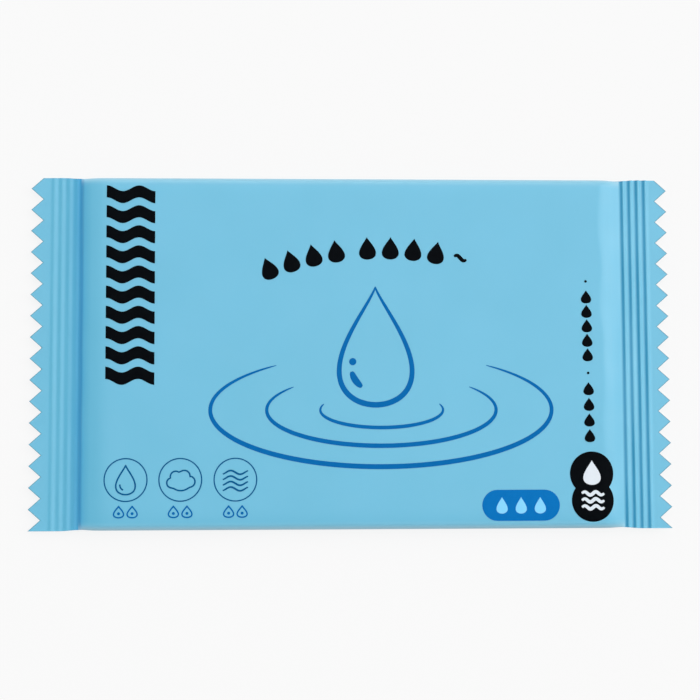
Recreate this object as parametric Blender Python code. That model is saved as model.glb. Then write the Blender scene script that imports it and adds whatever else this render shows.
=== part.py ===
"""A single-wipe sachet: one folded wet wipe sealed in a flow-wrapped film.

The sachet lies on its back. X runs along its length, Y across it, and Z is up. The
origin is on the surface that it lies on, under the middle of the sachet. The film
comes out of the machine as a flattened tube, so the long sides are folds, the back
has a fin seal along its middle, and both ends are crimped flat and cut to a zigzag.
The wipe fills the tube, so the whole sealed sachet is one closed solid.

Run it with: blender --background --python part.py
"""

import math

import bmesh
import bpy

# Outline
TOOTH_PITCH = 0.00402
TOOTH_DEPTH = 0.00225
HALF_PITCHES = 33  # the cut starts in a valley at +Y and ends on a tip at -Y
WIDTH = HALF_PITCHES * TOOTH_PITCH / 2
LENGTH = 0.1208

# Crimped ends, measured inwards from the line of the tooth tips
RIDGES = 4
RIDGE_PITCH = 0.00144
LEFT_CRIMP = 0.00937
LEFT_RIDGE_HEIGHT = 0.00008
LEFT_DROOP = 0.00065  # how far the tooth tips hang below the crimp's inner edge
LEFT_DROOP_POWER = 3.2
RIGHT_CRIMP = 0.00925
RIGHT_RIDGE_HEIGHT = 0.00023
RIGHT_DROOP = 0.00035
RIGHT_DROOP_POWER = 2.0
CRIMP_THICKNESS = 0.0003
CRIMP_LEVEL = 0.00205  # the middle of the crimped film where it meets the body

# Filled body
WALL_RISE = 0.00055  # the short steep step beside the left crimp
WALL_LEAD = 0.0003  # how far the step reaches into the crimp
WALL_RUN = 0.00105
END_RISE = 0.00075  # the gentle slope from the step up to the flat front
LEFT_RUN = 0.0062
RIGHT_RUN = 0.0041  # the right end rises by both amounts in one even slope
RIGHT_RUN_POWER = 1.4
DOME_RISE = 0.00025  # the wipe's further rise towards the middle
FOLD_SHARE = 0.77  # the share of the rise that is in the tight side fold
FOLD_RUN = 0.0010
SIDE_RUN = 0.0050
BACK_RUN = 0.0045  # from the crimp down to the flat back
BODY_INSET = 0.00008  # the filled body is this much narrower than the flat crimp on each side
WAIST = 0.00022  # how much further the long sides pull in where the crimps start
WAIST_RUN = 0.0020

# Fin seal, folded flat on the back
FIN_WIDTH = 0.0095
FIN_CENTRE = -0.0010
FIN_STEP = 0.0003
FIN_RELIEF = 0.0060  # the film beside the fin comes down again over this distance

# Mesh stations
BODY_STEP = 0.0085
RIDGE_PARTS = 4
WALL_SHARES = (0.2, 0.45, 0.75)  # of the way from the crimp to the end of the step
SLOPE_SHARES = (0.16, 0.3, 0.45, 0.7, 1.0)  # of the longer slope
FOLD_SHARES = (0.0, 0.06, 0.2, 0.45, 0.8, 1.4)  # of the side fold


def clamp(value):
    return min(1.0, max(0.0, value))


def end_stations(crimp):
    """Distances from the tip line: the cut, the lip, the ridges and the first of the body."""
    first_groove = crimp - RIDGES * RIDGE_PITCH
    lip = [0.0, (TOOTH_DEPTH + first_groove) / 2]
    part = RIDGE_PITCH / RIDGE_PARTS
    ridges = [first_groove + number * part for number in range(RIDGES * RIDGE_PARTS)]
    wall = [crimp + WALL_RUN * share for share in (0.0, *WALL_SHARES)]
    slope = [crimp + LEFT_RUN * share for share in SLOPE_SHARES]
    return lip + ridges + wall + slope


def x_stations():
    """The X of each column of points. The first and last columns take the zigzag."""
    left = [-LENGTH / 2 + d for d in end_stations(LEFT_CRIMP)]
    right = [LENGTH / 2 - d for d in end_stations(RIGHT_CRIMP)]
    gap = right[-1] - left[-1]
    parts = math.ceil(gap / BODY_STEP)
    middle = [left[-1] + gap * part / parts for part in range(1, parts)]
    return left + middle + right[::-1]


def y_stations():
    """The Y of each row of points: every tooth tip and valley, and more rows on the side folds."""
    low = [-WIDTH / 2 + FOLD_RUN * share for share in FOLD_SHARES]
    middle = [-WIDTH / 2 + TOOTH_PITCH / 2 * row for row in range(1, HALF_PITCHES)]
    fin_edges = (FIN_WIDTH / 2, FIN_WIDTH / 2 + FIN_STEP)
    fin = [FIN_CENTRE + side * edge for side in (-1, 1) for edge in fin_edges]
    high = [-y for y in low]
    return sorted(low + middle + fin + high)


def cut_inset(y):
    """How far the zigzag cut lies inside the tip line at this height of the end."""
    half_pitches = (WIDTH / 2 - y) / (TOOTH_PITCH / 2)
    to_tip = abs((half_pitches + 1) % 2 - 1)
    return TOOTH_DEPTH * (1 - to_tip)


def end_distances(x):
    """How far this place is from the left and the right line of tooth tips."""
    return x + LENGTH / 2, LENGTH / 2 - x


def body_depth(x):
    """How far this place is inside the filled body. It is negative on a crimp."""
    left, right = end_distances(x)
    return min(left - LEFT_CRIMP, right - RIGHT_CRIMP)


def ridge(from_body, height):
    """Even round ridges, counted outwards from the body."""
    turns = from_body / RIDGE_PITCH
    if turns <= 0 or turns >= RIDGES:
        return 0.0
    return height * (1 - math.cos(2 * math.pi * turns)) / 2


def ease(distance, run, power=2.0):
    """0 at the start to 1 at the end of the run, steepest at the start."""
    return 1 - (1 - clamp(distance / run)) ** power


def smooth_step(distance, run):
    """0 at the start to 1 at the end of the run, steepest in the middle."""
    share = clamp(distance / run)
    return share * share * (3 - 2 * share)


def crimp_level(x):
    """The middle of the crimped film: it droops towards the tips, and its ridges run across it."""
    left, right = end_distances(x)
    if left < right:
        droop = LEFT_DROOP * (1 - clamp(left / LEFT_CRIMP) ** LEFT_DROOP_POWER)
        return CRIMP_LEVEL - droop + ridge(LEFT_CRIMP - left, LEFT_RIDGE_HEIGHT)
    droop = RIGHT_DROOP * (1 - clamp(right / RIGHT_CRIMP) ** RIGHT_DROOP_POWER)
    return CRIMP_LEVEL - droop + ridge(RIGHT_CRIMP - right, RIGHT_RIDGE_HEIGHT)


def front_rise(x):
    """On the left a short step and then a gentle slope, and on the right one even slope."""
    depth = body_depth(x)
    if x < 0:
        return WALL_RISE * smooth_step(depth + WALL_LEAD, WALL_RUN) + END_RISE * ease(depth, LEFT_RUN)
    return (WALL_RISE + END_RISE) * ease(depth, RIGHT_RUN, RIGHT_RUN_POWER)


def shoulder(y):
    """0 on the side fold to 1 on the flat: a tight round fold and then a gentle slope."""
    inwards = WIDTH / 2 - abs(y)
    fold = math.sqrt(1 - (1 - clamp(inwards / FOLD_RUN)) ** 2)
    return FOLD_SHARE * fold + (1 - FOLD_SHARE) * ease(inwards, SIDE_RUN, 3.0)


def front_height(x, y):
    dome = DOME_RISE * math.cos(math.pi * x / LENGTH) * math.cos(math.pi * y / WIDTH)
    swell = front_rise(x) + dome * ease(body_depth(x), LEFT_RUN)
    return crimp_level(x) + CRIMP_THICKNESS / 2 + swell * shoulder(y)


def back_height(x, y):
    seal = crimp_level(x) - CRIMP_THICKNESS / 2
    flatness = ease(body_depth(x), BACK_RUN)
    height = seal * (1 - flatness * shoulder(y))
    beside_fin = abs(y - FIN_CENTRE) - FIN_WIDTH / 2
    if beside_fin < FIN_STEP / 2:
        return height
    fade = (1 - clamp(beside_fin / FIN_RELIEF)) ** 2
    return height + FIN_STEP * fade * flatness


def waist(x):
    """The share of the crimp's width that is left here."""
    depth = body_depth(x)
    inset = BODY_INSET * ease(depth, WAIST_RUN) + WAIST * math.exp(-((depth / WAIST_RUN) ** 2))
    return 1 - inset / (WIDTH / 2)


def sachet_mesh():
    """A grid of points for the front, and the back extruded from it, each moved to its height."""
    columns, rows = x_stations(), y_stations()
    sheet = bmesh.new()
    bmesh.ops.create_grid(sheet, x_segments=len(columns) - 1, y_segments=len(rows) - 1, size=0.5)
    for point in sheet.verts:
        column = round((point.co.x + 0.5) * (len(columns) - 1))
        row = round((point.co.y + 0.5) * (len(rows) - 1))
        point.co.x, point.co.y = columns[column], rows[row]
    front = list(sheet.verts)
    extruded = bmesh.ops.extrude_face_region(sheet, geom=list(sheet.faces))
    back = [item for item in extruded["geom"] if isinstance(item, bmesh.types.BMVert)]
    for points, height in ((front, front_height), (back, back_height)):
        for point in points:
            x, y = point.co.x, point.co.y
            place = (x, y * waist(x), height(x, y))
            if abs(x) > LENGTH / 2 - TOOTH_DEPTH / 4:
                place = (math.copysign(LENGTH / 2 - cut_inset(y), x), y, height(x, y))
            point.co = place
    bmesh.ops.recalc_face_normals(sheet, faces=list(sheet.faces))
    mesh = bpy.data.meshes.new("wipe_pack")
    sheet.to_mesh(mesh)
    sheet.free()
    return mesh


def film_material():
    """Pale blue satin laminate."""
    material = bpy.data.materials.new("blue_film")
    material.use_nodes = True
    shader = material.node_tree.nodes["Principled BSDF"]
    shader.inputs["Base Color"].default_value = (0.20, 0.56, 0.77, 1.0)
    shader.inputs["Roughness"].default_value = 0.42
    shader.inputs["Metallic"].default_value = 0.0
    return material


def clear_scene():
    for thing in list(bpy.data.objects):
        bpy.data.objects.remove(thing)


def main():
    clear_scene()
    mesh = sachet_mesh()
    mesh.materials.append(film_material())
    mesh.shade_smooth()
    mesh.set_sharp_from_angle(angle=math.radians(35))
    bpy.context.scene.collection.objects.link(bpy.data.objects.new("wipe_pack", mesh))


main()
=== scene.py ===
"""Looks of the single-wipe sachet: its film, its seals and its print.

The sachet lies on its back, X along its length, Y across it and Z up out of the front.
All sizes are in metres. MM is one millimetre.
"""

import math

import bmesh
import bpy
from mathutils import Matrix, Vector, noise


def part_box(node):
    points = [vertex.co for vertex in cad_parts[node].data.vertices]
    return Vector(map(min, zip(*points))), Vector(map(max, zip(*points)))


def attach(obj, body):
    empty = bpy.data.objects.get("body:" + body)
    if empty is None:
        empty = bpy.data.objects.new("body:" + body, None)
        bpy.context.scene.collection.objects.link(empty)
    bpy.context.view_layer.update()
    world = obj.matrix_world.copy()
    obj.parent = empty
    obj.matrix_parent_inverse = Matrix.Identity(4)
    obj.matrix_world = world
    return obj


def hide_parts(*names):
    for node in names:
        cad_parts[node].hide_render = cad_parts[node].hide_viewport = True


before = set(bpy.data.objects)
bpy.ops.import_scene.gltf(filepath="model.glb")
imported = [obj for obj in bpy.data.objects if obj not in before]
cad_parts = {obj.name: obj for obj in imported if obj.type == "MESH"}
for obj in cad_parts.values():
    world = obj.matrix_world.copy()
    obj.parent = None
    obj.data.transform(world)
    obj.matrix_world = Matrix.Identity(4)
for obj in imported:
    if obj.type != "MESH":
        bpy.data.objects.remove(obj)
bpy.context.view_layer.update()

MM = 0.001
PACK_LOW, PACK_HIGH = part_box("wipe_pack")
LENGTH = PACK_HIGH.x - PACK_LOW.x
WIDTH = PACK_HIGH.y - PACK_LOW.y
THICKNESS = PACK_HIGH.z - PACK_LOW.z

# Cut and crimped ends, measured inwards from the line of the tooth tips
HALF_PITCHES = 33
HALF_PITCH = WIDTH / HALF_PITCHES
TOOTH_DEPTH = 2.25 * MM
RIDGES = 4
RIDGE_PITCH = 1.44 * MM
RIDGE_SWING = 0.45  # how unevenly each ridge is pressed along its length
RIDGE_SWING_SIZE = 11.0 * MM
RIDGE_KIND = 0.3  # each kind of unevenness is read from its own line of the noise
RUN_KIND = 0.7
CREASE_KIND = 9.1
LEFT_CRIMP = 9.37 * MM
LEFT_RIDGE_HEIGHT = 0.09 * MM
LEFT_RIDGE_FADE = 0.6  # the share of that height that is left beside the body
LEFT_DROOP = 0.65 * MM
LEFT_DROOP_POWER = 3.2
RIGHT_CRIMP = 9.25 * MM
RIGHT_RIDGE_HEIGHT = 0.235 * MM
RIGHT_RIDGE_LEAN = 1.5  # above 1, the ridges lean outwards
RIGHT_DROOP = 0.35 * MM
RIGHT_DROOP_POWER = 2.0
SEAL_THICKNESS = 0.18 * MM
CRIMP_HALF = 0.15 * MM  # half of the solid crimp's thickness
SEAL_LEVEL = 2.05 * MM
# RIM is the width of the painted shade line along the cut
RIM = 0.26 * MM  # the darker line along the cut
LONG_RIM = 0.01 * MM  # and along a crimp's long edges

# Filled body
DOME_RISE = 0.25 * MM
END_RISE = 0.75 * MM  # the gentle slope at each end of the front
WALL_RISE = THICKNESS - SEAL_LEVEL - CRIMP_HALF - DOME_RISE - END_RISE
WALL_RUN = 1.05 * MM
WALL_LEAD = 0.3 * MM  # how far the left end's short step reaches into the crimp
LEFT_RUN = 6.2 * MM
RIGHT_RUN = 4.1 * MM
RIGHT_RUN_POWER = 1.4
RUN_SWING = 0.22  # how unevenly the right slope ends
RUN_SWING_SIZE = 8.0 * MM
FOLD_SHARE = 0.77  # the share of the rise that is in the tight side fold
FOLD_RUN = 1.0 * MM
SIDE_RUN = 5.0 * MM
BACK_RUN = 4.5 * MM
BODY_INSET = 0.08 * MM  # the body is this much narrower than the flat crimp on each side
WAIST = 0.22 * MM
WAIST_RUN = 2.0 * MM

# Where painted shade and a painted highlight go into the film's colour: painted shade, deeper in the
# crease beside the left crimp and in the right crimp's pressed grooves, and a painted pale sheen on
# the long folds
CREASE_PLACE = 0.3 * MM
CREASE_SWING = 0.6
CREASE_OUTSIDE = 1.1 * MM
CREASE_INSIDE = 0.5 * MM
CREASE_DEEP = 0.95
GROOVE_SHIFT = 0.07
GROOVE_GAIN = 0.15
PAINTED_SHEEN_SHARE = 0.45
PAINTED_SHEEN_RUN = 0.8 * MM

# Slack of the film over the folded wipe
SWELL_SIZE = 21 * MM
SWELL_DEPTH = 0.030 * MM
PUCKER_SIZE = 5.5 * MM
PUCKER_DEPTH = 0.040 * MM
PUCKER_REACH = 4.0 * MM
TUCK_PLACE = 1.9 * MM
TUCK_SIZE = 0.45 * MM
TUCK_DEPTH = 0.020 * MM

# Fin seal, folded flat on the back
FIN_WIDTH = 9.5 * MM
FIN_CENTRE = -1.0 * MM
FIN_THICKNESS = 0.22 * MM
FIN_GAP = 0.03 * MM
FIN_STEP = 0.3 * MM
FIN_RELIEF = 6.0 * MM
FIN_RIB_PITCH = 0.95 * MM
FIN_RIB_HEIGHT = 0.04 * MM

# Print
INK_THICKNESS = 0.02 * MM
INK_LIFT = 0.012 * MM
PRINT_CELL = 0.8 * MM
WELD = 1e-6  # points of one shape nearer than this are one point
DROP_TAPER = 1.5
DROP_GAIN = 0.712  # makes a drop with this taper as wide as it is told to be


# How finely the film is cut along X and across its side folds
LIP_PARTS = 3
LIP_GAP = 0.1 * MM
RIDGE_PARTS = 10
WALL_PARTS = 10
SLOPE_PARTS = 18
BODY_PARTS = 96
FOLD_SHARES = (0.02, 0.07, 0.15, 0.27, 0.42, 0.78, 1.0)


def clamp(value):
    return min(1.0, max(0.0, value))


# ---------------------------------------------------------------- shape of the film


def end_distances(x):
    """How far this place is from the left and the right line of tooth tips."""
    return x - PACK_LOW.x, PACK_HIGH.x - x


def body_depth(x):
    """How far this place is inside the filled body. It is negative on a crimp."""
    left, right = end_distances(x)
    return min(left - LEFT_CRIMP, right - RIGHT_CRIMP)


def uneven(y, size, swing, kind):
    """A smooth factor near 1 that varies along Y. Each kind varies in its own way."""
    return 1 + swing * noise.noise(Vector((kind, y / size, 0.5)))


def ridge(from_body, y, height, fade=1.0, lean=1.0):
    """Round ridges, counted outwards from the body, each pressed a little unevenly."""
    turns = from_body / RIDGE_PITCH
    if turns <= 0 or turns >= RIDGES:
        return 0.0
    grown = fade + (1 - fade) * turns / RIDGES
    pressed = uneven(y, RIDGE_SWING_SIZE, RIDGE_SWING, math.floor(turns) + RIDGE_KIND)
    return height * grown * pressed * (1 - math.cos(2 * math.pi * (turns % 1) ** lean)) / 2


def ease(distance, run, power=2.0):
    """0 at the start to 1 at the end of the run, steepest at the start."""
    return 1 - (1 - clamp(distance / run)) ** power


def smooth_step(distance, run):
    """0 at the start to 1 at the end of the run, steepest in the middle."""
    share = clamp(distance / run)
    return share * share * (3 - 2 * share)


def seal_level(x, y):
    """The middle of the crimped film: it droops towards the tips, and its ridges run across it."""
    left, right = end_distances(x)
    if left < right:
        droop = LEFT_DROOP * (1 - clamp(left / LEFT_CRIMP) ** LEFT_DROOP_POWER)
        return SEAL_LEVEL - droop + ridge(LEFT_CRIMP - left, y, LEFT_RIDGE_HEIGHT, LEFT_RIDGE_FADE)
    droop = RIGHT_DROOP * (1 - clamp(right / RIGHT_CRIMP) ** RIGHT_DROOP_POWER)
    from_body = RIGHT_CRIMP - right
    return SEAL_LEVEL - droop + ridge(from_body, y, RIGHT_RIDGE_HEIGHT, lean=RIGHT_RIDGE_LEAN)


def shoulder(y):
    """0 on the side fold to 1 on the flat: a tight round fold and then a gentle slope."""
    inwards = WIDTH / 2 - abs(y)
    fold = math.sqrt(1 - (1 - clamp(inwards / FOLD_RUN)) ** 2)
    return FOLD_SHARE * fold + (1 - FOLD_SHARE) * ease(inwards, SIDE_RUN, 3.0)


def front_rise(x, y):
    """On the left a short step and then a gentle slope, and on the right one even slope."""
    depth = body_depth(x)
    if x < 0:
        return WALL_RISE * smooth_step(depth + WALL_LEAD, WALL_RUN) + END_RISE * ease(depth, LEFT_RUN)
    run = RIGHT_RUN * uneven(y, RUN_SWING_SIZE, RUN_SWING, RUN_KIND)
    return (WALL_RISE + END_RISE) * ease(depth, run, RIGHT_RUN_POWER)


def slack(x, y, depth):
    """Slow waves over the wipe, and short puckers and a low raised line beside the crimps."""
    if depth <= 0:
        return 0.0
    slow = SWELL_DEPTH * noise.noise(Vector((x, y, 0.31)) / SWELL_SIZE)
    along = Vector((x / 3, y, 4.7)) / PUCKER_SIZE
    near = depth / PUCKER_REACH * math.exp(1 - depth / PUCKER_REACH)
    tuck = TUCK_DEPTH * math.exp(-(((depth - TUCK_PLACE) / TUCK_SIZE) ** 2))
    return slow * ease(depth, LEFT_RUN) + PUCKER_DEPTH * near * noise.noise(along) + tuck


def front_height(x, y):
    depth = body_depth(x)
    flatness = ease(depth, BACK_RUN)
    half = SEAL_THICKNESS / 2 * (1 - flatness) + CRIMP_HALF * flatness
    dome = DOME_RISE * math.cos(math.pi * x / LENGTH) * math.cos(math.pi * y / WIDTH)
    swell = front_rise(x, y) + dome * ease(depth, LEFT_RUN)
    return seal_level(x, y) + half + (swell + slack(x, y, depth)) * shoulder(y)


def back_height(x, y):
    seal = seal_level(x, y) - SEAL_THICKNESS / 2
    flatness = ease(body_depth(x), BACK_RUN)
    height = seal * (1 - flatness * shoulder(y))
    beside_fin = max(0.0, abs(y - FIN_CENTRE) - FIN_WIDTH / 2)
    return height + FIN_STEP * (1 - clamp(beside_fin / FIN_RELIEF)) ** 2 * flatness


def waist(x):
    """The share of the crimp's width that is left here."""
    depth = body_depth(x)
    inset = BODY_INSET * ease(depth, WAIST_RUN) + WAIST * math.exp(-((depth / WAIST_RUN) ** 2))
    return 1 - inset / (WIDTH / 2)


def crease_shade_share(x, y):
    """How much painted shade darkens the colour in the crease beside the left crimp: most on its line.
    """
    place = CREASE_PLACE * uneven(y, RIDGE_SWING_SIZE, CREASE_SWING, CREASE_KIND)
    beyond = end_distances(x)[0] - LEFT_CRIMP - place
    size = CREASE_INSIDE if beyond > 0 else CREASE_OUTSIDE
    return CREASE_DEEP * math.exp(-abs(beyond) / size)


def groove_shade_share(x):
    """How much painted shade darkens the right crimp's grooves: most on the ridges' inner sides."""
    turns = (RIGHT_CRIMP - end_distances(x)[1]) / RIDGE_PITCH
    if turns <= 0 or turns >= RIDGES:
        return 0.0
    return clamp(GROOVE_GAIN + math.sin(2 * math.pi * (turns - GROOVE_SHIFT)))


def fold_sheen_share(x, y):
    """How much painted pale sheen shows: 1 on the long folds of the body, and less and less beside
    them.
    """
    if body_depth(x) <= 0:
        return 0.0
    return math.exp(-(((WIDTH / 2 - abs(y)) / PAINTED_SHEEN_RUN) ** 2))


def rim_shade_share(x, y):
    """How much painted shade darkens the film: 1 on the cut edge and on a crimp's long edges, and 0
    elsewhere.
    """
    if abs(x) > LENGTH / 2 - RIM / 2:
        return 1.0
    return 1.0 if body_depth(x) < 0 and abs(y) > WIDTH / 2 - LONG_RIM else 0.0


def cut_inset(y):
    """How far the zigzag cut lies inside the tip line."""
    half_pitches = (WIDTH / 2 - y) / HALF_PITCH
    to_tip = abs((half_pitches + 1) % 2 - 1)
    return TOOTH_DEPTH * (1 - to_tip)


# ---------------------------------------------------------------- film and fin seal


def spread(start, end, parts):
    """Places from start to end, without the last one."""
    return [start + (end - start) * part / parts for part in range(parts)]


def end_columns(crimp):
    """Distances from the tip line: the cut, the lip, the ridges, the wall and the slope."""
    first_groove = crimp - RIDGES * RIDGE_PITCH
    lip = [0.0, RIM] + spread(TOOTH_DEPTH + RIM + LIP_GAP, first_groove, LIP_PARTS)
    grooves = spread(first_groove, crimp, RIDGE_PARTS * RIDGES)
    wall = spread(crimp, crimp + WALL_RUN, WALL_PARTS)
    slope = spread(crimp + WALL_RUN, crimp + LEFT_RUN, SLOPE_PARTS)
    return lip + grooves + wall + slope


def film_columns():
    left = [PACK_LOW.x + d for d in end_columns(LEFT_CRIMP)]
    right = [PACK_HIGH.x - d for d in end_columns(RIGHT_CRIMP)]
    middle = spread(left[-1], right[-1], BODY_PARTS)[1:]
    return left + middle + right[::-1]


def film_rows():
    half = WIDTH / 2
    fold = [half - FOLD_RUN * share for share in FOLD_SHARES]
    fin_edges = [FIN_CENTRE + side * FIN_WIDTH / 2 for side in (-1, 1)]
    even = spread(-half, half, 4 * HALF_PITCHES) + [half]
    return sorted(even + fold + [-y for y in fold] + fin_edges)


def film_sheet(columns, rows):
    """A closed sheet with a front and a back, its points on these columns and rows."""
    sheet = bmesh.new()
    # These layers say how far painted shade (crease, groove, rim) and painted sheen (pale) move the
    # film's colour
    for layer in ("crease", "groove", "pale", "rim"):
        sheet.verts.layers.float.new(layer)
    bmesh.ops.create_grid(sheet, x_segments=len(columns) - 1, y_segments=len(rows) - 1, size=0.5)
    for point in sheet.verts:
        column = round((point.co.x + 0.5) * (len(columns) - 1))
        row = round((point.co.y + 0.5) * (len(rows) - 1))
        point.co.x, point.co.y = columns[column], rows[row]
    front = list(sheet.verts)
    made = bmesh.ops.extrude_face_region(sheet, geom=list(sheet.faces))
    back = [item for item in made["geom"] if isinstance(item, bmesh.types.BMVert)]
    return sheet, front, back


def shape_sheet(sheet, points, height, pale=0.0):
    """Cuts the zigzag, pulls in the waist, and gives the points their height and their shares of
    painted shade and painted sheen.

    Pale is how far the painted pale sheen shows on the long folds.
    """
    layers = sheet.verts.layers.float
    for point in points:
        x, y = point.co.x, point.co.y
        point[layers["crease"]] = crease_shade_share(x, y)
        point[layers["groove"]] = groove_shade_share(x)
        point[layers["pale"]] = pale * fold_sheen_share(x, y)
        point[layers["rim"]] = rim_shade_share(x, y)
        if abs(x) > LENGTH / 2 - TOOTH_DEPTH / 4:
            point.co = (math.copysign(abs(x) - cut_inset(y), x), y, height(x, y))
        else:
            point.co = (x, y * waist(x), height(x, y))


def piece(name, shape, material, crease=math.radians(30)):
    """Closes a finished shape into a shown piece that rides on the sachet."""
    bmesh.ops.recalc_face_normals(shape, faces=list(shape.faces))
    mesh = bpy.data.meshes.new(name)
    shape.to_mesh(mesh)
    shape.free()
    mesh.materials.append(material)
    mesh.shade_smooth()
    mesh.set_sharp_from_angle(angle=crease)
    made = bpy.data.objects.new(name, mesh)
    bpy.context.scene.collection.objects.link(made)
    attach(made, "root")
    return made


def film_envelope(material):
    sheet, front, back = film_sheet(film_columns(), film_rows())
    shape_sheet(sheet, front, front_height, PAINTED_SHEEN_SHARE)
    shape_sheet(sheet, back, back_height)
    envelope = piece("film_envelope", sheet, material)
    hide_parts("wipe_pack")


def fin_seal(material):
    """The flap of the long seal: two layers pressed with fine lengthwise ribs."""
    low, high = FIN_CENTRE - FIN_WIDTH / 2, FIN_CENTRE + FIN_WIDTH / 2
    ribs = round(FIN_WIDTH / FIN_RIB_PITCH)
    rows = spread(low, high, 4 * ribs) + [high]
    sheet, top, under = film_sheet(film_columns(), rows)

    def top_height(x, y):
        return back_height(x, y) - FIN_GAP

    def under_height(x, y):
        rib = FIN_RIB_HEIGHT * math.cos(2 * math.pi * (y - low) / FIN_RIB_PITCH) / 2
        pressed = FIN_THICKNESS - (FIN_RIB_HEIGHT / 2 + rib) * ease(body_depth(x), BACK_RUN)
        return top_height(x, y) - pressed

    shape_sheet(sheet, top, top_height)
    shape_sheet(sheet, under, under_height)
    piece("fin_seal", sheet, material)


# ---------------------------------------------------------------- printing


def add_block(shape, x, y, width, height, corner):
    """A flat rectangle with rounded corners."""
    place = Matrix.Translation((x, y, 0)) @ Matrix.Diagonal((width, height, 1, 1))
    made = bmesh.ops.create_grid(shape, x_segments=1, y_segments=1, size=0.5, matrix=place)
    bmesh.ops.bevel(
        shape,
        geom=made["verts"],
        offset=corner,
        offset_type="OFFSET",
        segments=8,
        profile=0.5,
        affect="VERTICES",
        material=-1,
    )


def add_disc(shape, x, y, radius, segments=72):
    place = Matrix.Translation((x, y, 0))
    return bmesh.ops.create_circle(
        shape, cap_ends=True, radius=radius, segments=segments, matrix=place
    )["verts"]


def drop_outline(width, height, turn=0.0, steps=72):
    """Points round a drop: its tip is up, and its fullest place is 0.29 of the way up."""
    points = []
    for number in range(steps):
        angle = 2 * math.pi * number / steps
        x = width * DROP_GAIN * math.sin(angle) * math.sin(angle / 2) ** DROP_TAPER
        points.append(Matrix.Rotation(turn, 2) @ Vector((x, height / 2 * math.cos(angle))))
    return points


def add_drop(shape, x, y, width, height, turn=0.0):
    """A flat filled drop: a disc whose rim is drawn out to a tip."""
    steps = 40
    rim = bmesh.ops.create_circle(shape, cap_ends=True, radius=1, segments=steps)["verts"]
    for point, place in zip(rim, drop_outline(width, height, turn, steps)):
        point.co = (x + place.x, y + place.y, 0)


def add_stroke(shape, points, widths, closed=False):
    """A flat pen stroke along the points, as wide as the list says at each point."""
    curve = bpy.data.curves.new("stroke", "CURVE")
    curve.dimensions = "3D"
    curve.bevel_depth = 0.5
    curve.bevel_resolution = 1
    curve.use_fill_caps = not closed
    spline = curve.splines.new("POLY")
    spline.points.add(len(points) - 1)
    spline.use_cyclic_u = closed
    for knot, point, width in zip(spline.points, points, widths):
        knot.co = (point[0], point[1], 0, 1)
        knot.radius = width
    pen = bpy.data.objects.new("stroke", curve)
    mesh = bpy.data.meshes.new_from_object(pen)
    mesh.transform(Matrix.Diagonal((1, 1, INK_THICKNESS / max(widths), 1)))
    shape.from_mesh(mesh)
    bpy.data.objects.remove(pen)
    bpy.data.curves.remove(curve)
    bpy.data.meshes.remove(mesh)


def cut_into_cells(shape):
    """Cuts flat shapes along a square grid, so that they can follow the film."""
    for axis in (0, 1):
        across = Vector((1, 0, 0)) if axis == 0 else Vector((0, 1, 0))
        low = min(point.co[axis] for point in shape.verts)
        high = max(point.co[axis] for point in shape.verts)
        for line in range(math.ceil(low / PRINT_CELL), math.ceil(high / PRINT_CELL)):
            everything = list(shape.verts) + list(shape.edges) + list(shape.faces)
            bmesh.ops.bisect_plane(
                shape, geom=everything, dist=1e-7, plane_co=across * line * PRINT_CELL, plane_no=across
            )


def lay_on_front(shape, layer):
    """Moves print onto the film. Each layer lies on the one before."""
    lift = INK_LIFT + layer * 1.5 * INK_THICKNESS
    for point in shape.verts:
        point.co.z += front_height(point.co.x, point.co.y) + lift


def print_fields(name, shape, ink, layer=0):
    """Filled shapes: cut into cells, made as thick as ink and laid on the film."""
    cut_into_cells(shape)
    made = bmesh.ops.extrude_face_region(shape, geom=list(shape.faces))
    raised = [item for item in made["geom"] if isinstance(item, bmesh.types.BMVert)]
    bmesh.ops.translate(shape, verts=raised, vec=(0, 0, INK_THICKNESS))
    lay_on_front(shape, layer)
    piece(name, shape, ink)


def print_strokes(name, shape, ink, layer=0):
    """Pen strokes: welded shut and laid on the film."""
    bmesh.ops.remove_doubles(shape, verts=list(shape.verts), dist=WELD)
    bmesh.ops.translate(shape, verts=list(shape.verts), vec=(0, 0, INK_THICKNESS / 2))
    lay_on_front(shape, layer)
    piece(name, shape, ink, crease=math.radians(80))


def swelling(count, thin, thick, power=0.5):
    """Stroke widths that grow from thin at both ends to thick in the middle."""
    shares = [math.sin(math.pi * number / (count - 1)) ** power for number in range(count)]
    return [thin + (thick - thin) * share for share in shares]


def arc(x, y, radius_x, radius_y, start, end, steps):
    """Points on an ellipse, from one angle in degrees to another."""
    turns = [start + (end - start) * number / steps for number in range(steps + 1)]
    angles = [math.radians(turn) for turn in turns]
    return [(x + radius_x * math.cos(a), y + radius_y * math.sin(a)) for a in angles]


# ---------------------------------------------------------------- the print itself

TITLE_X = -41.55 * MM
TITLE_WIDTH = 9.1 * MM
TITLE_THICKNESS = 2.3 * MM
TITLE_TOP = 31.7 * MM
TITLE_BANDS = 10
TITLE_PITCH = 3.8 * MM
TITLE_SWING = 0.55 * MM
TITLE_TURNS = 1.5

ARC_CENTRE = (5.6 * MM, -40.3 * MM)
ARC_RADIUS = 60.0 * MM
ARC_STEP = 4.36 * MM
ARC_GROUP = 4
ARC_GROUP_GAP = 1.6 * MM
ARC_START = -21.8 * MM
ARC_DROP_SIZE = (3.2 * MM, 4.3 * MM)
ARC_WAVE_WIDTH = 2.4 * MM
ARC_WAVE_SWING = 0.35 * MM
ARC_WAVE_BACK = 0.9 * MM  # how much nearer the wave stands than a drop would

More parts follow.
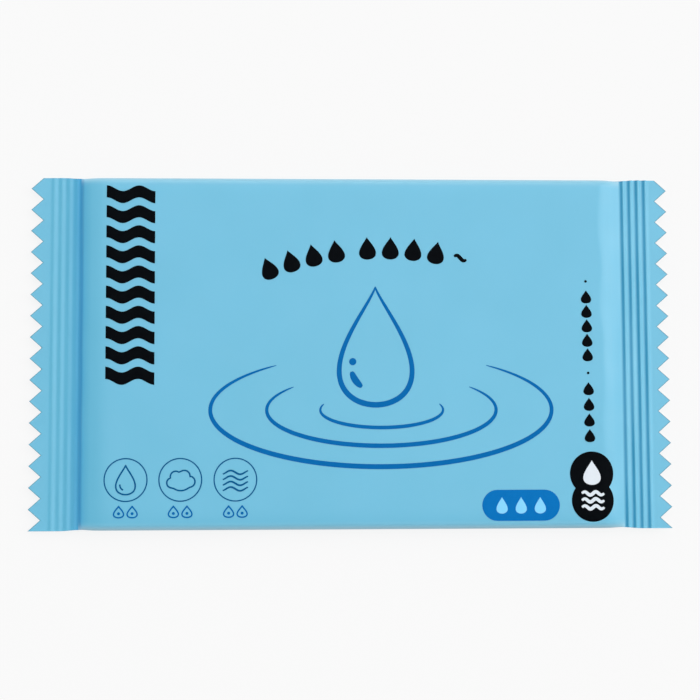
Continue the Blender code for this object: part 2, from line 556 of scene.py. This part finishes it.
DROP_PLACE = (4.3 * MM, 1.2 * MM)
DROP_SIZE = (13.7 * MM, 22.2 * MM)
DROP_PARTS = 120
DROP_PEN = 0.20 * MM
DROP_PEN_GROWTH = 0.86 * MM  # from the drop's tip to its foot
SHINE_DROP = 3.9 * MM  # how far below the drop's middle the shine's arc has its centre
SHINE_RADIUS = 4.6 * MM
SHINE_SPAN = (192, 236)
GLINT_PLACE = (-4.3 * MM, -3.0 * MM)
GLINT_RADIUS = 0.68 * MM
RIPPLE_PLACE = (5.4 * MM, -10.85 * MM)
# For each ring: half its length, half its depth, where it starts and ends, and its pen
RIPPLES = (
    (32.0 * MM, 10.6 * MM, 128, 412, 0.95 * MM),
    (21.5 * MM, 6.7 * MM, 140, 400, 0.85 * MM),
    (11.5 * MM, 3.3 * MM, 160, 380, 0.70 * MM),
)
RIPPLE_TIP = 0.12 * MM

ICON_RADIUS = 3.95 * MM
ICON_Y = -23.75 * MM
ICON_X = (-42.2 * MM, -32.1 * MM, -21.9 * MM)
ICON_PEN = 0.30 * MM
RING_PEN = 0.24 * MM
ICON_WAVE_GAP = 1.02 * MM
CAPTION_Y = -29.65 * MM
CAPTION_PEN = 0.28 * MM

SIDE_X = 44.4 * MM
SIDE_LEAN = 0.012
# For each group: the place of its top drop, how many drops it has, and their pitch
SIDE_GROUPS = ((10.5 * MM, 5, 2.75 * MM), (-6.9 * MM, 4, 2.95 * MM))
SIDE_DOT_GAP = 2.95 * MM
UPPER_DISC = (44.86 * MM, -22.88 * MM, 4.15 * MM)
LOWER_DISC = (45.0 * MM, -27.88 * MM, 4.0 * MM)
BADGE_WAVE_GAP = 1.3 * MM

PILL_PLACE = (31.42 * MM, -28.73 * MM)
PILL_SIZE = (14.6 * MM, 5.8 * MM)
PILL_DROP_PITCH = 3.6 * MM


def add_wave_band(shape, x, y, width, thick, swing, turns):
    """A flat band of even thickness that waves up and down along X."""
    steps = 48
    place = Matrix.Translation((x, y, 0)) @ Matrix.Diagonal((width, thick, 1, 1))
    made = bmesh.ops.create_grid(shape, x_segments=steps, y_segments=1, size=0.5, matrix=place)
    for point in made["verts"]:
        point.co.y += swing * math.sin(2 * math.pi * turns * (point.co.x - x) / width)


def title_waves(ink):
    """An evenly spaced column of bold wavy bands down the left side."""
    shape = bmesh.new()
    for band in range(TITLE_BANDS):
        middle = TITLE_TOP - TITLE_PITCH * (band + 0.5)
        size = (TITLE_WIDTH, TITLE_THICKNESS)
        add_wave_band(shape, TITLE_X, middle, *size, TITLE_SWING, TITLE_TURNS)
    print_fields("title_waves", shape, ink)


def arc_place(along):
    """A place on the arc over the drop, and how far it leans there."""
    lean = along / ARC_RADIUS
    x = ARC_CENTRE[0] + ARC_RADIUS * math.sin(lean)
    return x, ARC_CENTRE[1] + ARC_RADIUS * math.cos(lean), -lean


def arc_drops(ink):
    """Two groups of four small drops on an arc, and a short wave after them."""
    shape = bmesh.new()
    for number in range(2 * ARC_GROUP):
        gap = ARC_GROUP_GAP if number >= ARC_GROUP else 0
        x, y, lean = arc_place(ARC_START + number * ARC_STEP + gap)
        add_drop(shape, x, y, *ARC_DROP_SIZE, lean)
    print_fields("arc_drops", shape, ink)
    shape = bmesh.new()
    wave_start = ARC_START + 2 * ARC_GROUP * ARC_STEP + ARC_GROUP_GAP - ARC_WAVE_BACK
    parts = 16
    points = []
    for number in range(parts + 1):
        x, y, _ = arc_place(wave_start + ARC_WAVE_WIDTH * number / parts)
        points.append((x, y + ARC_WAVE_SWING * math.sin(2 * math.pi * number / parts)))
    add_stroke(shape, points, swelling(parts + 1, 0.35 * MM, 0.75 * MM))
    print_strokes("arc_wave", shape, ink)


def main_drop(ink):
    """The big drop: an outline that thins towards its tip, with a shine inside it."""
    shape = bmesh.new()
    outline = drop_outline(*DROP_SIZE, steps=DROP_PARTS)
    points = [(DROP_PLACE[0] + p.x, DROP_PLACE[1] + p.y) for p in outline]
    shares = [math.sin(math.pi * number / DROP_PARTS) ** 0.9 for number in range(DROP_PARTS)]
    widths = [DROP_PEN + DROP_PEN_GROWTH * share for share in shares]
    add_stroke(shape, points, widths, closed=True)
    x, y = DROP_PLACE
    shine = arc(x, y - SHINE_DROP, SHINE_RADIUS, SHINE_RADIUS, *SHINE_SPAN, 12)
    add_stroke(shape, shine, swelling(len(shine), 0.5 * MM, 1.3 * MM))
    print_strokes("main_drop", shape, ink)
    shape = bmesh.new()
    add_disc(shape, x + GLINT_PLACE[0], y + GLINT_PLACE[1], GLINT_RADIUS, 24)
    print_fields("main_drop_glint", shape, ink)


def ripples(ink):
    """Rings on water round the foot of the drop, open at the back where the drop stands."""
    shape = bmesh.new()
    for reach_x, reach_y, start, end, pen in RIPPLES:
        points = arc(*RIPPLE_PLACE, reach_x, reach_y, start, end, 120)
        add_stroke(shape, points, swelling(len(points), RIPPLE_TIP, pen))
    print_strokes("ripples", shape, ink)


def cloud_outline(x, y):
    """Points round a small cloud of four lobes on a rounded foot."""
    lobes = (
        (-1.55, -0.55, 0.95, 130, 262),
        (0.10, 0.30, 2.30, 236, 304),
        (1.70, -0.35, 1.02, -85, 75),
        (0.75, 0.70, 1.05, -8, 120),
        (-0.85, 0.60, 1.00, 55, 195),
    )
    points = []
    for lobe_x, lobe_y, radius, start, end in lobes:
        points += arc(x + lobe_x * MM, y + lobe_y * MM, radius * MM, radius * MM, start, end, 10)
    return points


def wave_line(x, y, width, swing, turns, start):
    """Points along a wave. Turns and start are counted in whole waves."""
    points = []
    for number in range(33):
        share = number / 32
        height = swing * math.sin(2 * math.pi * (turns * share + start))
        points.append((x + (share - 0.5) * width, y + height))
    return points


def icons(ink):
    """Three ringed pictograms: a drop, a cloud and waves."""
    rings, drawing = bmesh.new(), bmesh.new()
    for x in ICON_X:
        ring = arc(x, ICON_Y, ICON_RADIUS, ICON_RADIUS, 0, 357, 119)
        add_stroke(rings, ring, [RING_PEN] * len(ring), closed=True)
    drop = [(ICON_X[0] + p.x, ICON_Y + p.y) for p in drop_outline(3.6 * MM, 5.4 * MM)]
    add_stroke(drawing, drop, [ICON_PEN] * len(drop), closed=True)
    glint = arc(ICON_X[0], ICON_Y - 0.9 * MM, 1.05 * MM, 1.05 * MM, 175, 245, 8)
    add_stroke(drawing, glint, [ICON_PEN] * len(glint))
    cloud = cloud_outline(ICON_X[1], ICON_Y)
    add_stroke(drawing, cloud, [ICON_PEN] * len(cloud), closed=True)
    for line in range(4):
        y = ICON_Y + 1.34 * MM - ICON_WAVE_GAP * line
        wave = wave_line(ICON_X[2], y, 4.7 * MM, 0.35 * MM, 1.35, -0.175)
        add_stroke(drawing, wave, swelling(len(wave), 0.22 * MM, 0.36 * MM))
    print_strokes("icon_rings", rings, ink)
    print_strokes("icon_drawings", drawing, ink)


def icon_captions(ink):
    """Two small outlined drops, each with a dot in it, under each ringed pictogram."""
    outlines, dots = bmesh.new(), bmesh.new()
    for middle in ICON_X:
        for side in (-1, 1):
            x = middle + side * 1.25 * MM
            drop = [(x + p.x, CAPTION_Y + p.y) for p in drop_outline(1.85 * MM, 2.1 * MM, steps=36)]
            add_stroke(outlines, drop, [CAPTION_PEN] * len(drop), closed=True)
            add_disc(dots, x, CAPTION_Y - 0.3 * MM, 0.28 * MM, 20)
    print_strokes("icon_captions", outlines, ink)
    print_fields("icon_caption_dots", dots, ink)


def side_drops(ink):
    """Small drops in a slightly leaning column, in two groups with a dot over each."""
    shape = bmesh.new()
    for top, count, pitch in SIDE_GROUPS:
        for number in range(count):
            y = top - number * pitch
            add_drop(shape, SIDE_X - SIDE_LEAN * y, y, 2.0 * MM, 2.5 * MM)
        y = top + SIDE_DOT_GAP
        add_disc(shape, SIDE_X - SIDE_LEAN * y, y, 0.25 * MM, 20)
    print_fields("side_drops", shape, ink)


def add_cut_disc(shape, disc, other):
    """A flat disc, cut straight where the other disc's circle crosses its own."""
    x, y, radius = disc
    across = Vector((other[0] - x, other[1] - y))
    to_cut = (across.length_squared + radius**2 - other[2] ** 2) / (2 * across.length)
    half_gap = math.degrees(math.acos(to_cut / radius))
    toward = math.degrees(math.atan2(across.y, across.x))
    steps = 72
    rim = bmesh.ops.create_circle(shape, cap_ends=True, radius=1, segments=steps + 1)["verts"]
    places = arc(x, y, radius, radius, toward + half_gap, toward - half_gap + 360, steps)
    for point, place in zip(rim, places):
        point.co = (*place, 0)


def badge(ink, pale):
    """Two joined black discs with a pale drop and pale waves."""
    shape = bmesh.new()
    add_cut_disc(shape, UPPER_DISC, LOWER_DISC)
    add_cut_disc(shape, LOWER_DISC, UPPER_DISC)
    bmesh.ops.remove_doubles(shape, verts=list(shape.verts), dist=WELD)
    print_fields("badge_discs", shape, ink)
    marks = bmesh.new()
    add_drop(marks, UPPER_DISC[0], UPPER_DISC[1] + 0.2 * MM, 3.3 * MM, 4.6 * MM)
    print_fields("badge_drop", marks, pale, layer=1)
    marks = bmesh.new()
    for line in (1, 0, -1):
        y = LOWER_DISC[1] + BADGE_WAVE_GAP * line
        wave = wave_line(LOWER_DISC[0], y, 4.2 * MM, 0.3 * MM, 2, 0)
        add_stroke(marks, wave, swelling(len(wave), 0.38 * MM, 0.66 * MM))
    print_strokes("badge_waves", marks, pale, layer=1)


def pill(ink, pale):
    """A blue rounded label with three pale drops lying on it."""
    shape = bmesh.new()
    add_block(shape, *PILL_PLACE, *PILL_SIZE, PILL_SIZE[1] / 2 - 0.01 * MM)
    print_fields("pill_field", shape, ink)
    marks = bmesh.new()
    for number in (-1, 0, 1):
        x = PILL_PLACE[0] + number * PILL_DROP_PITCH
        add_drop(marks, x, PILL_PLACE[1], 2.1 * MM, 3.1 * MM)
    print_fields("pill_drops", marks, pale, layer=1)


# ---------------------------------------------------------------- materials


def new_material(name, roughness, specular):
    material = bpy.data.materials.new(name)
    material.use_nodes = True
    shader = material.node_tree.nodes["Principled BSDF"]
    shader.inputs["Roughness"].default_value = roughness
    shader.inputs["Specular IOR Level"].default_value = specular
    return material, material.node_tree, shader


def noise_on(tree, size, detail, roughness=0.5):
    """Noise on the piece's own coordinates, with blots of about this size."""
    place = tree.nodes.new("ShaderNodeTexCoord")
    cloud = tree.nodes.new("ShaderNodeTexNoise")
    cloud.inputs["Scale"].default_value = 1 / size
    cloud.inputs["Detail"].default_value = detail
    cloud.inputs["Roughness"].default_value = roughness
    tree.links.new(place.outputs["Object"], cloud.inputs["Vector"])
    return cloud


def vary_colour(tree, shader, cloud, one, other):
    """Lets the noise move the colour between two near shades."""
    ramp = tree.nodes.new("ShaderNodeValToRGB")
    ramp.color_ramp.elements[0].position = 0.3
    ramp.color_ramp.elements[1].position = 0.7
    ramp.color_ramp.elements[0].color = (*one, 1)
    ramp.color_ramp.elements[1].color = (*other, 1)
    tree.links.new(cloud.outputs["Fac"], ramp.inputs["Fac"])
    tree.links.new(ramp.outputs["Color"], shader.inputs["Base Color"])
    return ramp.outputs["Color"]


def shade_where(tree, shader, colour, layer, shade):
    """Moves the colour towards another shade as far as the mesh's own layer says."""
    share = tree.nodes.new("ShaderNodeAttribute")
    share.attribute_name = layer
    mix = tree.nodes.new("ShaderNodeMix")
    mix.data_type = "RGBA"
    tree.links.new(share.outputs["Fac"], mix.inputs["Factor"])
    tree.links.new(colour, mix.inputs["A"])
    mix.inputs["B"].default_value = (*shade, 1)
    tree.links.new(mix.outputs["Result"], shader.inputs["Base Color"])
    return mix.outputs["Result"]


def vary_roughness(tree, shader, cloud, low, high):
    span = tree.nodes.new("ShaderNodeMapRange")
    span.inputs["From Min"].default_value = 0.3
    span.inputs["From Max"].default_value = 0.7
    span.inputs["To Min"].default_value = low
    span.inputs["To Max"].default_value = high
    tree.links.new(cloud.outputs["Fac"], span.inputs["Value"])
    tree.links.new(span.outputs["Result"], shader.inputs["Roughness"])


def add_bump(tree, shader, cloud, depth, strength):
    bump = tree.nodes.new("ShaderNodeBump")
    bump.inputs["Distance"].default_value = depth
    bump.inputs["Strength"].default_value = strength
    tree.links.new(cloud.outputs["Fac"], bump.inputs["Height"])
    tree.links.new(bump.outputs["Normal"], shader.inputs["Normal"])


def blue_film():
    """Satin laminate in pale blue, with faint clouds in its colour and gloss, and painted shade and a
    painted pale sheen laid into its colour.
    """
    material, tree, shader = new_material("blue_film", 0.36, 0.5)
    faint = noise_on(tree, 14 * MM, 3)
    colour = vary_colour(tree, shader, faint, (0.092, 0.371, 0.532), (0.098, 0.382, 0.549))
    # Painted shade: the crease beside the left crimp is darkened in the colour
    colour = shade_where(tree, shader, colour, "crease", (0.010, 0.262, 0.535))
    # Painted shade: the inner sides of the right crimp's ridges are darkened in the colour
    colour = shade_where(tree, shader, colour, "groove", (0.020, 0.242, 0.418))
    # Painted highlight: a pale sheen on the long folds is painted into the colour
    colour = shade_where(tree, shader, colour, "pale", (0.420, 0.560, 0.600))
    # Painted shade: a dark line along the cut edges and the crimps' long edges
    shade_where(tree, shader, colour, "rim", (0.035, 0.150, 0.210))
    vary_roughness(tree, shader, noise_on(tree, 5 * MM, 4), 0.33, 0.40)
    add_bump(tree, shader, noise_on(tree, 0.9 * MM, 3), 0.01 * MM, 0.35)
    return material


def printed_ink(name, one, other, specular=0.2):
    """Flat gravure ink on the film, very slightly uneven."""
    material, tree, shader = new_material(name, 0.45, specular)
    vary_colour(tree, shader, noise_on(tree, 1.2 * MM, 4), one, other)
    add_bump(tree, shader, noise_on(tree, 0.9 * MM, 3), 0.01 * MM, 0.3)
    return material


# ---------------------------------------------------------------- floor, light and camera

FLOOR_GLOW = 0.8625
FLOOR_COLOUR = 0.07
LIGHT_DISTANCE = 3.0
HORIZON_LIGHT = 0.95
SKY_LIGHT = 0.19

CAMERA_LENS = 85.0
CAMERA_DISTANCE = 311.69 * MM
CAMERA_TILT_X = math.radians(2.74)
CAMERA_TILT_Y = math.radians(4.90)
CAMERA_ROLL = math.radians(-0.242)
AIM = Vector((-0.417 * MM, 0.549 * MM, THICKNESS / 2))


def pale_floor():
    """A wide light table: it glows softly, so that the sachet's shadow on it is faint."""
    ground = bmesh.new()
    bmesh.ops.create_circle(ground, cap_ends=True, radius=6.0, segments=64)
    mesh = bpy.data.meshes.new("floor")
    ground.to_mesh(mesh)
    ground.free()
    material, _, shader = new_material("pale_floor", 0.9, 0.0)
    shader.inputs["Base Color"].default_value = (FLOOR_COLOUR, FLOOR_COLOUR, FLOOR_COLOUR, 1)
    shader.inputs["Emission Color"].default_value = (1, 1, 1, 1)
    shader.inputs["Emission Strength"].default_value = FLOOR_GLOW
    mesh.materials.append(material)
    floor = bpy.data.objects.new("floor", mesh)
    bpy.context.scene.collection.objects.link(floor)


def softbox(name, azimuth, elevation, size, power):
    """A big round soft light that points at the sachet."""
    lamp = bpy.data.lights.new(name, "AREA")
    lamp.shape = "DISK"
    lamp.size = size
    lamp.energy = power
    across = math.cos(math.radians(elevation))
    toward = Vector(
        (
            math.cos(math.radians(azimuth)) * across,
            math.sin(math.radians(azimuth)) * across,
            math.sin(math.radians(elevation)),
        )
    )
    light = bpy.data.objects.new(name, lamp)
    light.location = toward * LIGHT_DISTANCE
    light.rotation_euler = toward.to_track_quat("Z", "Y").to_euler()
    bpy.context.scene.collection.objects.link(light)


def studio_sky():
    """Soft light from all round: white at the horizon, and darker straight above."""
    world = bpy.data.worlds.new("studio")
    world.use_nodes = True
    tree = world.node_tree
    place = tree.nodes.new("ShaderNodeTexCoord")
    split = tree.nodes.new("ShaderNodeSeparateXYZ")
    ramp = tree.nodes.new("ShaderNodeValToRGB")
    stops = ramp.color_ramp.elements
    stops[0].position, stops[0].color = 0.35, (HORIZON_LIGHT,) * 3 + (1,)
    stops[1].position, stops[1].color = 0.75, (SKY_LIGHT,) * 3 + (1,)
    tree.links.new(place.outputs["Generated"], split.inputs["Vector"])
    tree.links.new(split.outputs["Z"], ramp.inputs["Fac"])
    tree.links.new(ramp.outputs["Color"], tree.nodes["Background"].inputs["Color"])
    bpy.context.scene.world = world


def camera():
    """Nearly straight above, leaning a little towards the near side and the left."""
    lens = bpy.data.cameras.new("camera")
    lens.lens = CAMERA_LENS
    lens.clip_start = 10 * MM
    lens.clip_end = 50
    away = Vector((-math.sin(CAMERA_TILT_X), -math.sin(CAMERA_TILT_Y), 1)).normalized()
    right = Vector((0, 1, 0)).cross(away).normalized()
    up = away.cross(right)
    place = Matrix((right, up, away)).transposed().to_4x4() @ Matrix.Rotation(CAMERA_ROLL, 4, "Z")
    place.translation = AIM + away * CAMERA_DISTANCE
    eye = bpy.data.objects.new("camera", lens)
    eye.matrix_world = place
    bpy.context.scene.collection.objects.link(eye)
    bpy.context.scene.camera = eye


def build():
    film = blue_film()
    black = printed_ink("black_ink", (0.0005, 0.001, 0.002), (0.001, 0.002, 0.003), 0.02)
    blue = printed_ink("blue_ink", (0.0016, 0.127, 0.386), (0.0020, 0.137, 0.406), 0.02)
    line_blue = printed_ink("line_blue_ink", (0.0016, 0.105, 0.320), (0.0020, 0.113, 0.336), 0.02)
    deep_blue = printed_ink("deep_blue_ink", (0.003, 0.078, 0.200), (0.004, 0.086, 0.220), 0.02)
    pale = printed_ink("pale_ink", (0.58, 0.63, 0.68), (0.60, 0.65, 0.70), 0.1)
    sky = printed_ink("sky_ink", (0.185, 0.52, 0.78), (0.20, 0.54, 0.80), 0.1)
    film_envelope(film)
    fin_seal(film)
    title_waves(black)
    arc_drops(black)
    main_drop(line_blue)
    ripples(line_blue)
    icons(deep_blue)
    icon_captions(line_blue)
    side_drops(black)
    badge(black, pale)
    pill(blue, sky)
    pale_floor()
    softbox("top_light", azimuth=55, elevation=76, size=3.2, power=54.0)
    softbox("side_light", azimuth=15, elevation=40, size=1.95, power=41.0)
    softbox("far_light", azimuth=90, elevation=44, size=1.6, power=20.0)
    studio_sky()
    camera()
    bpy.context.scene.view_settings.view_transform = "Standard"


build()
